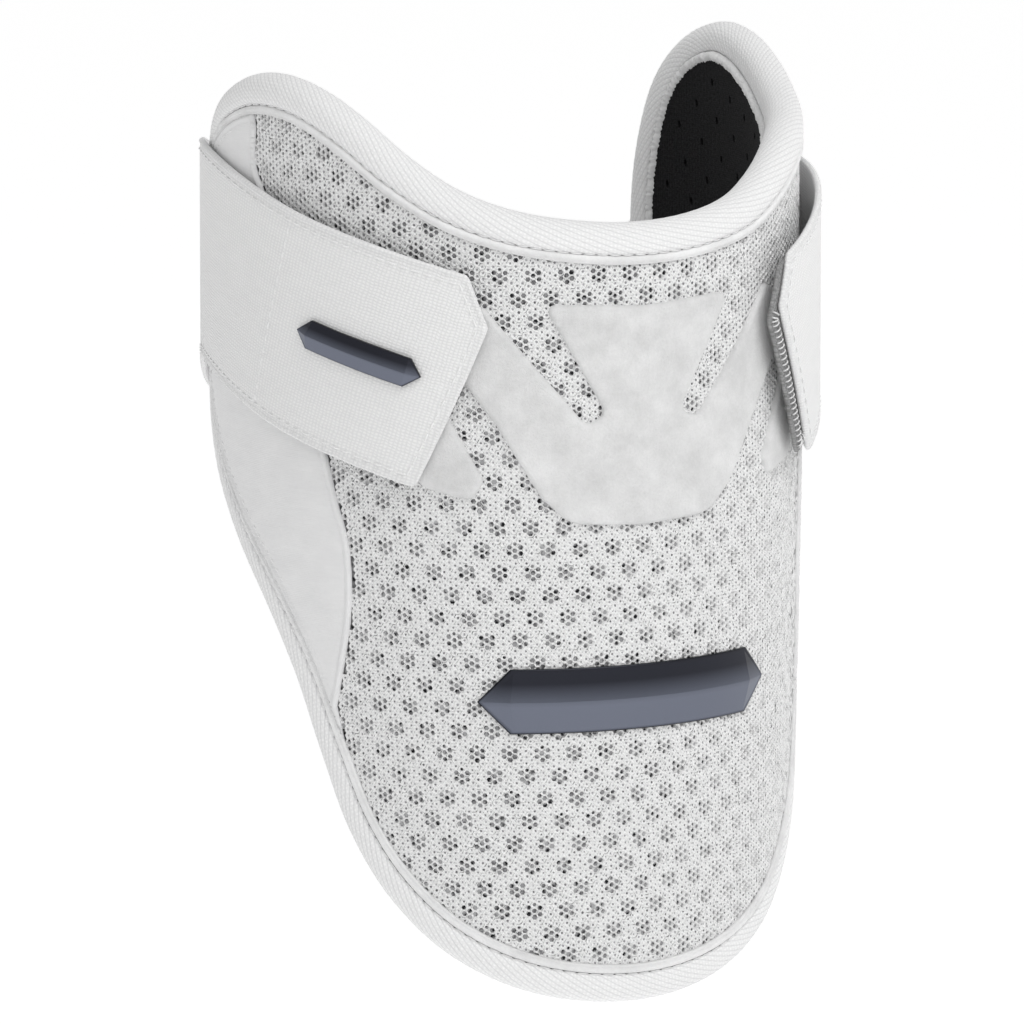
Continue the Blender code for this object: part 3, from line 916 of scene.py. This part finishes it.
def make_knit(line, borders, material):
    """Knitted mesh as real holes: six yarn walls round each hole, and a low
    dimple in each small cell between the clusters."""
    wide, tall = KNIT_COLUMN, KNIT_ROW
    far = (wide ** 2 + tall ** 2 / 4) / (2 * wide)
    near = (wide ** 2 - tall ** 2 / 4) / (2 * wide)
    corners = np.array([(far, 0), (near, tall / 2), (-near, tall / 2),
                        (-far, 0), (-near, -tall / 2), (near, -tall / 2)])
    reach_across = int(math.radians(125) * SHELL_OUTER / wide)
    reach_up = int(1.1 * HALF_HEIGHT / tall)
    cells = np.array([(column, row + 0.5 * (column % 2))
                      for column in range(-reach_across, reach_across + 1)
                      for row in range(-reach_up, reach_up + 1)])
    centres = cells * (wide, tall)
    centres[:, 0] += KNIT_LEAN * centres[:, 1]
    keep = inside(centres, inset(line, TAPE_OUTER_LEG + 0.75 * MM))
    # Cells within 0.25 mm of a side panel are left out, so that the dark padding shows along the
    # panel's border as a painted shadow line.
    for border in borders:
        keep &= ~inside(centres, border) & (border_gap(centres, [border]) > 0.25 * MM)
    cells, centres = cells[keep], centres[keep]

    rng = np.random.default_rng(7)
    corner_points = (centres[:, None, :] + corners[None]).reshape(-1, 2)
    keys = np.round(corner_points / (0.02 * MM)).astype(np.int64)
    _, first, shared = np.unique(keys, axis=0, return_index=True, return_inverse=True)
    shared = shared.reshape(-1, 6)
    count = len(first)
    flat = [corner_points[first] + rng.normal(0, KNIT_JITTER, (count, 2))]
    heights = [KNIT_TOP + rng.normal(0, 0.04 * MM, count)]
    pins = [np.zeros(count)]
    faces = []
    turned = np.radians(np.arange(0, 360, 60))
    rim_shape = np.stack([np.cos(turned), np.sin(turned)], axis=1) * HOLE_RADIUS
    for (column, row), centre, around in zip(cells, centres, shared):
        size = cluster_place(int(column), row)
        if size == 0.0:
            # The dimple's centre carries the pin mark, where the knit's material paints a dark
            # pinhole as painted shade.
            flat.append(centre[None] + rng.normal(0, KNIT_JITTER, (1, 2)))
            heights.append(np.array([KNIT_TOP - DIMPLE]))
            pins.append(np.array([1.0]))
            for side in range(6):
                faces.append((count, around[side], around[(side + 1) % 6]))
            count += 1
            continue
        size *= rng.uniform(0.90, 1.06)
        middle = centre + rng.normal(0, KNIT_JITTER, 2)
        rim = middle + rim_shape * size
        flat.append(np.concatenate([rim, middle + rim_shape * size * 0.93]))
        heights.append(np.concatenate([np.full(6, KNIT_TOP - 0.13 * MM),
                                       np.full(6, KNIT_TOP - KNIT_DEPTH)]))
        pins.append(np.zeros(12))
        for side in range(6):
            after = (side + 1) % 6
            faces.append((around[side], around[after], count + after, count + side))
            faces.append((count + side, count + after, count + 6 + after, count + 6 + side))
        count += 12
    flat = np.concatenate(flat)
    heights = np.concatenate(heights)
    edge_gap = border_gap(flat, [even_line(inset(line, TAPE_OUTER_LEG), 3 * MM)])
    heights -= ridge(edge_gap, 0.25, 0.0, 2.5)
    cover = make_object("knit_cover", on_guard(flat, heights), faces, flat, material,
                        marks={"pin": np.concatenate(pins)})
    low, high = flat.min(axis=0), flat.max(axis=0)
    float(high[0] - low[0])
    float(high[1] - low[1])


# Edge

def rib_layout(line):
    """Distance along the edge of each rib column, and how many there are.
    Ribs lie closer and steeper over the lobes, where the tape is stretched."""
    lengths = line_lengths(line)
    closed = close(line)
    turns = np.abs(closed[:, 0]) / SHELL_OUTER
    heights = closed[:, 1] / HALF_HEIGHT
    lobe = np.exp(-((turns - math.radians(90)) / 0.55) ** 2) * np.clip(heights, 0, 1)
    low = np.clip(-heights * 2, 0, 1)
    steep = np.maximum(lobe, 0.25 * low)
    widest, closest = 4.0 * MM, 1.45 * MM
    pitch = 1 / (1 / widest + steep * (1 / closest - 1 / widest))
    steps = np.diff(lengths) * 2 / (pitch[1:] + pitch[:-1])
    phase = running(steps)
    ribs = round(phase[-1])
    return lengths, phase * ribs / phase[-1], ribs


def make_tape(line, material):
    """Ribbed tape folded over the edge. Its columns of points run along the
    slanting ribs, four columns to a rib."""
    line = np.roll(line, -EDGE_STEPS * TAPE_JOIN, axis=0)
    lengths, phase, ribs = rib_layout(line)
    total = lengths[-1]
    outer = EDGE_ROUND + TAPE_WALL
    turns = np.radians(np.linspace(90, -90, 13))
    leg = np.linspace(-TAPE_OUTER_LEG, 0, 5)[:-1]
    inner_leg = np.linspace(0, -TAPE_INNER_LEG, 4)[1:]
    end_drop = np.array([0.60, 0.10, 0.0, 0.0]) * MM
    section = [(out, EDGE_MIDDLE + outer - drop, 0, 1) for out, drop in zip(leg, end_drop)]
    section += [(outer * math.cos(turn), EDGE_MIDDLE + outer * math.sin(turn),
                 math.cos(turn), math.sin(turn)) for turn in turns]
    section += [(out, EDGE_MIDDLE - outer, 0, -1) for out in inner_leg]
    section[-1] = (section[-1][0], section[-1][1] + 0.3 * MM, 0, -1)
    under = EDGE_ROUND
    section += [(-TAPE_INNER_LEG, EDGE_MIDDLE - under, 0, 0)]
    section += [(under * math.cos(turn), EDGE_MIDDLE + under * math.sin(turn), 0, 0)
                for turn in np.radians((-90, -45, 0, 45, 90))]
    section += [(-TAPE_OUTER_LEG, EDGE_MIDDLE + under, 0, 0)]
    section = np.array(section)
    widths = open_lengths(section[:, :2])
    shown = len(leg) + len(turns) + len(inner_leg)
    widths[shown:] = np.linspace(widths[shown - 1], 0.0, len(section) - shown)
    columns = ribs * 4
    profile = np.tile([-1.0, 0.15, 0.3, 0.15], ribs)
    relief = profile * RIB_RELIEF
    tracks, flats = [], []
    for (outward, offset, way_out, way_up), width in zip(section, widths):
        wanted = np.arange(columns) / 4 + width / RIB_PITCH
        distance = np.interp(wanted % ribs, phase, lengths) + total * (wanted // ribs)
        middle = at_distances(line, distance)
        normal = normals_along(line, lengths, distance % total)
        flat = middle - normal * (outward + relief * way_out)[:, None]
        tracks.append(on_guard(flat, offset + relief * way_up))
        flats.append(np.stack([distance, np.full(columns, width)], axis=1))
    rib = np.repeat(np.clip(profile + 1, 0, 1), len(section))
    tape = band("edge_tape", np.stack(tracks, axis=1), np.stack(flats, axis=1), material,
                {"rib": rib})
    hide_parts("binding")


def uneven_wave(turns, crests, phase):
    """Wave of height near 1 with about this many uneven crests round the edge."""
    mix = ((1.0, 0.60), (1.37, 0.45), (0.61, 0.40), (0.23, 0.30))
    return sum(high * np.cos(2 * math.pi * round(crests * step) * turns + phase * (5 + step))
               for step, high in mix)


def edge_band(name, line, section, spacing, material, ripple=0.0, ripple_pitch=1.0):
    """Band along the edge, with an inner border that may ripple. A section
    point is (outward, offset, share of the ripple)."""
    line = np.roll(line, -EDGE_STEPS * TAPE_JOIN, axis=0)
    lengths = line_lengths(line)
    total = lengths[-1]
    stations = round(total / spacing)
    distance = np.arange(stations) * total / stations
    middle = at_distances(line, distance)
    normal = normals_along(line, lengths, distance)
    wave = uneven_wave(distance / total, total / ripple_pitch, 0.0) * ripple
    swell = uneven_wave(distance / total, total / ripple_pitch, 2.1) * ripple * 0.9
    tracks, flats = [], []
    for outward, offset, share in section:
        flat = middle - normal * (outward + wave * share)[:, None]
        tracks.append(on_guard(flat, offset - swell * share))
        flats.append(np.stack([distance, np.full(stations, outward + offset)], axis=1))
    return band(name, np.stack(tracks, axis=1), np.stack(flats, axis=1), material)


def make_piping(line, material, thread):
    """Soft bead beside the tape, with a shallow sewn groove."""
    start = -TAPE_OUTER_LEG - 0.12 * MM
    end = -TAPE_OUTER_LEG - PLY_GAP - PIPING_WIDTH - 0.6 * MM
    width = start - end
    sunk = 0.35 * MM
    shape = [(0.0, 0.0), (0.05, 0.45), (0.16, 0.80), (0.32, 0.98), (0.48, 1.0), (0.62, 0.93),
             (0.72, 0.74), (0.80, 0.80), (0.92, 0.62), (1.0, 0.0)]
    section = [(start - width * across, PLY_GAP - sunk + (PIPING_RISE + sunk) * up, up * 0.6)
               for across, up in shape]
    piping = edge_band("edge_piping", line, section, 0.4 * MM, material,
                       ripple=0.09 * MM, ripple_pitch=1.5 * MM)
    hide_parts("piping")
    seam = even_line(inset(line, TAPE_OUTER_LEG + 0.05 * MM), 1.0 * MM)
    stitches = sewn("seam_stitches", [(seam, True)], on_guard, 0.55 * MM, thread,
                    length=2.6 * MM, gap=0.5 * MM, thread=0.16 * MM)


def make_edging(line, material):
    """Looped strip between the tape and the liner, rippled on its inner side."""
    start = -TAPE_INNER_LEG - 0.1 * MM
    end = -TAPE_INNER_LEG - PLY_GAP - EDGING_WIDTH - 0.7 * MM
    width = start - end
    top = -SHELL_WALL - 0.1 * MM
    drop = LINER_WALL + 0.95 * MM
    shape = [(0.0, 0.0, 0.0), (0.0, 0.50, 0.2), (0.15, 0.85, 0.7), (0.4, 1.0, 1.0),
             (0.7, 0.95, 1.0), (0.95, 0.7, 1.0), (1.0, 0.35, 1.0), (0.95, 0.0, 0.6)]
    section = [(start - width * across, top - drop * down, share)
               for across, down, share in shape]
    edging = edge_band("liner_border", line, section, 0.28 * MM, material,
                       ripple=0.25 * MM, ripple_pitch=1.5 * MM)
    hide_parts("liner_edging")


def make_arm_liner(line, material):
    """Black cloth in the hollow, pierced by slits in a slanting lattice."""
    outline = even_line(inset(line, LINER_START - 0.3 * MM), 2.0 * MM)
    first, second = np.array((8.6, 3.3)) * MM, np.array((-6.4, 5.6)) * MM
    half_width, half_height, lean = 0.54 * MM, 0.98 * MM, 0.15
    slit = np.array([(math.cos(angle) * half_width, math.sin(angle) * half_height)
                     for angle in np.radians(np.arange(0, 360, 45))])
    slit[:, 0] += slit[:, 1] * lean
    centres = np.array([first * i + second * j for i in range(-40, 41) for j in range(-40, 41)])
    centres = centres[inside(centres, inset(line, LINER_START + 2.0 * MM))]
    holes = [centre + slit for centre in centres]
    top_height = -SHELL_WALL - PLY_GAP
    liner = plate("arm_liner", outline, on_guard, level(top_height - LINER_WALL),
                  level(top_height), 2.6 * MM, material, holes=holes)
    liner.data.set_sharp_from_angle(angle=math.radians(40))
    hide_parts("liner")
    flat, area = sheet_size(outline)


# Pieces on the front

def wing_line(line, side, depth):
    """The part of the edge that a side panel follows, moved inwards by depth."""
    edge = inset(line, depth)
    last = len(EDGE) - 1
    foot, top = EDGE_STEPS * (last - SIDE_FOOT), EDGE_STEPS * (last - SIDE_TOP)
    if side > 0:
        return edge[foot:top + 1]
    return edge[len(line) - foot:len(line) - top - 1:-1]


def panel_outline(line, side):
    """Flat outline of a side panel."""
    wing = wing_line(line, side, PANEL_START)
    border = smooth_curve(PANEL_BORDER, 8, closed=False)
    turn = side * np.radians(border[:, 0]) * SHELL_OUTER
    border = np.stack([turn, border[:, 1] * HALF_HEIGHT], axis=1)
    return even_line(anticlockwise(np.concatenate([wing, border])), 1.2 * MM)


def make_panel(name, node, outline, row, material, thread):
    """Smooth side panel with a turned hem along its border and one row of
    stitches beside the piping."""
    def top(points, gap):
        hem = ridge(gap, 0.30, 0.7, 0.55)
        groove = ridge(gap, 0.16, 1.55, 0.25)
        pucker = 0.05 * MM * np.sin(points[:, 1] / (0.9 * MM)) * np.exp(-gap / (4 * MM))
        return PLY_GAP + PANEL_WALL * edge_round(gap, 0.5 * MM) + hem - groove + pucker
    panel = plate(name, outline, on_guard, level(0.1 * MM), top, 2.6 * MM, material,
                  rings=millimetres(0.15, 0.4, 0.8, 1.2, 1.55, 1.9, 3.0),
                  ring_spacing=1.2 * MM)
    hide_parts(node)
    stitches = sewn(name + "_stitches", [(row, False)], on_guard,
                    PLY_GAP + PANEL_WALL - 0.08 * MM, thread, length=1.5 * MM, gap=0.9 * MM,
                    thread=0.13 * MM)
    flat, area = sheet_size(outline)


def rounded(corners, steps=6):
    """Closed outline through corners (across, up, radius), each one rounded."""
    points = []
    count = len(corners)
    for index, (across, up, radius) in enumerate(corners):
        here = np.array((across, up))
        if radius == 0:
            points.append(here)
            continue
        back = np.array(corners[index - 1][:2]) - here
        ahead = np.array(corners[(index + 1) % count][:2]) - here
        back_run, ahead_run = np.linalg.norm(back), np.linalg.norm(ahead)
        opening = math.acos(np.dot(back, ahead) / (back_run * ahead_run))
        trim = min(radius / math.tan(opening / 2), 0.48 * back_run, 0.48 * ahead_run)
        start = here + back / back_run * trim
        end = here + ahead / ahead_run * trim
        for step in range(steps + 1):
            share = step / steps
            points.append((1 - share) ** 2 * start + 2 * share * (1 - share) * here
                          + share ** 2 * end)
    return np.array(points)


def patch_outline():
    """Flat outline of the loop patch."""
    top = EDGE[0][1] * HALF_HEIGHT - PATCH_DROP
    half = [(across * PATCH_HALF_WIDTH, top + (up - 1) * PATCH_HEIGHT, radius)
            for across, up, radius in PATCH_CORNERS]
    mirrored = [(-across, up, radius) for across, up, radius in half[1:-1][::-1]]
    return even_line(anticlockwise(rounded(half + mirrored)), 0.7 * MM)


def make_fleece(outline, material):
    """Brushed patch with soft pressed edges and a slightly uneven pile."""
    def top(points, gap):
        swell = 0.12 * MM * np.sin(points[:, 0] / (3.1 * MM)) * np.cos(points[:, 1] / (2.7 * MM))
        return 0.05 * MM + (PLY_GAP + PATCH_WALL) * edge_round(gap, 1.3 * MM) ** 0.8 \
            + swell * np.clip(gap / (3 * MM), 0, 1)
    patch = plate("fleece_patch", outline, on_guard, level(0.0), top, 1.3 * MM, material,
                  rings=millimetres(0.12, 0.35, 0.7, 1.2), ring_spacing=0.8 * MM)
    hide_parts("loop_patch")
    flat, area = sheet_size(outline)


def make_badge(name, node, centre, length, width, place, base, material):
    """Six-sided moulding: a small bevel, then facets up to a long ridge."""
    straight = length / 2 - width / 2
    corners = np.array([(-length / 2, 0), (-straight, -width / 2), (straight, -width / 2),
                        (length / 2, 0), (straight, width / 2), (-straight, width / 2)])
    bevel = 0.045 * width
    steps = max(2, round(length / (2.5 * MM)))
    side_parts = (2, steps, 2, 2, steps, 2)
    count = sum(side_parts)
    rows = ((0.0, 0.0), (0.0, 0.75), (bevel * 0.35, 0.95), (bevel, 1.0))
    points, faces = [], []
    for distance, up in rows:
        ring = corners * (1 - np.array([distance * math.sqrt(2) * 2 / length,
                                        distance * 2 / width]))
        for here, ahead, parts in zip(ring, np.roll(ring, -1, axis=0), side_parts):
            points += [(*(here + (ahead - here) * part / parts), up * BADGE_RISE)
                       for part in range(parts)]
    for low in range(0, count * (len(rows) - 1), count):
        for index in range(count):
            after = (index + 1) % count
            faces.append((low + index, low + after, low + count + after, low + count + index))
    crest = len(points)
    top = crest - count
    points += [(-straight + 2 * straight * part / steps, 0.0, BADGE_RISE + BADGE_RIDGE)
               for part in range(steps + 1)]
    lower_left, lower_right = top + 2, top + 2 + steps
    upper_right, upper_left = lower_right + 4, lower_right + 4 + steps
    for part in range(steps):
        faces.append((lower_left + part, lower_left + part + 1, crest + part + 1, crest + part))
        faces.append((upper_right + part, upper_right + part + 1,
                      crest + steps - part - 1, crest + steps - part))
    left_fan = (upper_left, upper_left + 1, top, top + 1, lower_left)
    right_fan = range(lower_right, upper_right + 1)
    for fan, tip in ((left_fan, crest), (right_fan, crest + steps)):
        faces += [(first, second, tip) for first, second in zip(fan, fan[1:])]
    faces.append(tuple(range(count - 1, -1, -1)))
    points = np.array(points)
    world = place(points[:, :2] + centre, points[:, 2] + base)
    # The shade mark, across the width, is what the material uses to paint the upper facet's
    # shade.
    badge = make_object(name, world, faces, points[:, :2], material, outward=True,
                        marks={"rise": points[:, 2] / BADGE_RISE,
                               "shade": points[:, 1] * 2 / width})
    badge.data.set_sharp_from_angle(angle=math.radians(8))
    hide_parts(node)


# Strap

def strap_outline(route, margin=0.0, start=0.0, end=None, clips=(True, True)):
    """Flat outline of the strap, or of what lies within a margin of it. An
    end that is clipped slants and has one corner cut off."""
    half = STRAP_WIDTH / 2 - margin
    shoulder = half - STRAP_CHAMFER_DROP
    low, high = start + margin, (route.length if end is None else end) - margin
    corner_radius = 1.2 * MM
    sides = []
    for place, inward, clipped in ((low, 1, clips[0]), (high, -1, clips[1])):
        cuts = ((-half, 0), (shoulder, 0), (half, STRAP_CHAMFER)) if clipped else ()
        sides.append([(place + inward * (cut - across * STRAP_SLANT), across, corner_radius)
                      for across, cut in cuts]
                     or [(place, -half, corner_radius), (place, half, corner_radius)])
    left, right = sides
    return anticlockwise(rounded(left[::-1] + right, steps=4))


def make_strap(route, material, thread):
    """Woven elastic strap with rolled edges and a groove beside each one."""
    outline = even_line(strap_outline(route), 1.4 * MM)
    half_wall, corner = STRAP_WALL / 2, 0.7 * MM

    def top(points, gap):
        groove = ridge(gap, 0.24, 1.4, 0.30)
        sewn_dip = ridge(gap, 0.08, 2.5, 0.5)
        bead = ridge(gap, 0.14, 0.65, 0.40)
        return half_wall + half_wall * edge_round(gap, corner) + bead - groove - sewn_dip

    def bottom(points, gap):
        return half_wall * (1 - edge_round(gap, corner))
    strap = plate("elastic_strap", outline, route.place, bottom, top, 2.2 * MM, material,
                  rings=millimetres(0.12, 0.35, 0.65, 1.0, 1.35, 1.7, 2.5, 3.3),
                  ring_spacing=1.4 * MM)
    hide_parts("strap")
    row = even_line(inset(outline, 2.5 * MM), 1.0 * MM)
    cross_seam = route.run(76.0)
    half = STRAP_WIDTH / 2 - 3 * MM
    cross = np.array([(cross_seam, -half), (cross_seam, half)])
    stitches = sewn("strap_stitches", [(row, True), (cross, False)], route.place,
                    STRAP_WALL - 0.05 * MM, thread)


def make_hooks(name, node, route, start, end, clips, material, hook):
    """Tab under a strap end, with rows of small hooks on its inner face and
    a row of broad loops on what shows past the strap."""
    outline = even_line(strap_outline(route, TAB_MARGIN, start, end, clips), 1.5 * MM)
    top_height = -PLY_GAP
    # The tab's dark material is painted shade under the strap's end.
    tab = plate(name, outline, route.place, level(top_height - 0.6 * MM),
                level(top_height + 0.25 * MM), 2.5 * MM, material)
    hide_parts(node)
    pitch = 1.7 * MM
    low, high = outline.min(axis=0), outline.max(axis=0)
    spots = np.array([(x, y) for x in np.arange(low[0], high[0], pitch)
                      for y in np.arange(low[1], high[1], pitch)])
    spots = spots[inside(spots, inset(outline, 0.8 * MM))]
    rng = np.random.default_rng(11)
    spots = spots + rng.normal(0, 0.2 * MM, spots.shape)
    sides, rings = 4, 6
    points, faces = [], []
    leans = rng.uniform(0, 2 * math.pi, len(spots))
    rows = [(spot, np.array((math.cos(lean), math.sin(lean))), -1, *SMALL_HOOK)
            for spot, lean in zip(spots, leans)]
    loops = inset(outline, TAB_SHOWING * 0.5)
    past = ~inside(loops, strap_outline(route))
    rows += [(spot, way, 1, *BROAD_LOOP)
             for spot, way in zip(loops[past], left_normals(outline)[past])]
    for spot, way, way_up, span, rise, thread in rows:
        faces += tube_faces(len(points), rings, sides)
        for ring in range(rings):
            angle = math.pi * ring / (rings - 1)
            reach = span * math.cos(angle)
            drop = top_height - 0.15 * MM + way_up * (0.4 * MM + rise * math.sin(angle))
            for side in range(sides):
                around = 2 * math.pi * side / sides
                out = thread * math.cos(around)
                across = thread * math.sin(around)
                spread = (reach + out * math.cos(angle)) * way \
                    + across * np.array((-way[1], way[0]))
                points.append((*(spot + spread), drop + way_up * out * math.sin(angle)))
    points = np.array(points)
    world = route.place(points[:, :2], points[:, 2])
    hooks = make_object(name + "_hooks", world, faces, points[:, :2], hook, outward=True)
    flat, area = sheet_size(outline)


def main():
    make_camera()
    make_studio()
    line = edge_line()
    fleece = felt_material("fleece_white", 0.58, 0.72, 0.22, 0.25 * MM)
    border_felt = felt_material("border_white", 0.74, 0.86, 0.3, 0.30 * MM, scale=2.2)
    piping_felt = felt_material("piping_white", 0.70, 0.82, 0.2, 0.22 * MM, scale=2.4)
    thread = thread_material()
    tape = tape_material()
    panel = panel_material()
    badge = badge_material()
    # The tab's near black to dark grey is painted shade, where it lies under the strap's lifted
    # end; the hooks are pale.
    tab = hook_material("hook_grey", 0.10, 0.40)
    hook = hook_material("hook_pale", 0.62, 0.88)
    outlines = {side: panel_outline(line, side) for side in (1, -1)}
    liner = liner_material()
    make_padding(line, padding_shade_material(), liner)
    make_knit(line, list(outlines.values()), knit_material())
    make_tape(line, tape)
    make_piping(line, piping_felt, thread)
    make_edging(line, border_felt)
    make_arm_liner(line, liner)
    for side, hand in ((1, "right"), (-1, "left")):
        row = wing_line(line, side, PANEL_START + 2.1 * MM)[2 * EDGE_STEPS:-EDGE_STEPS]
        make_panel("wing_panel_" + hand, "side_panel_" + hand, outlines[side], row, panel,
                   thread)
    make_fleece(patch_outline(), fleece)
    make_badge("badge_front", "front_badge", np.array((0.0, BADGE_HEIGHT)), BADGE_LENGTH,
               BADGE_WIDTH, on_guard, PLY_GAP, badge)
    route = Route()
    make_strap(route, strap_material(), thread)
    make_hooks("hooks_left", "hook_tab_left", route, 0.0, TAB_MARGIN + TAB_LENGTH,
               (True, False), tab, hook)
    make_hooks("hooks_right", "hook_tab_right", route,
               route.length - TAB_MARGIN - TAB_LENGTH,
               route.length + TAB_MARGIN + TAB_SHOWING, (False, True), tab, hook)
    make_badge("badge_strap", "strap_badge", np.array((route.run(STRAP_BADGE_TURN), 0.0)),
               STRAP_BADGE_LENGTH, STRAP_BADGE_WIDTH, route.place, STRAP_WALL + PLY_GAP, badge)


main()
bpy.context.view_layer.update()
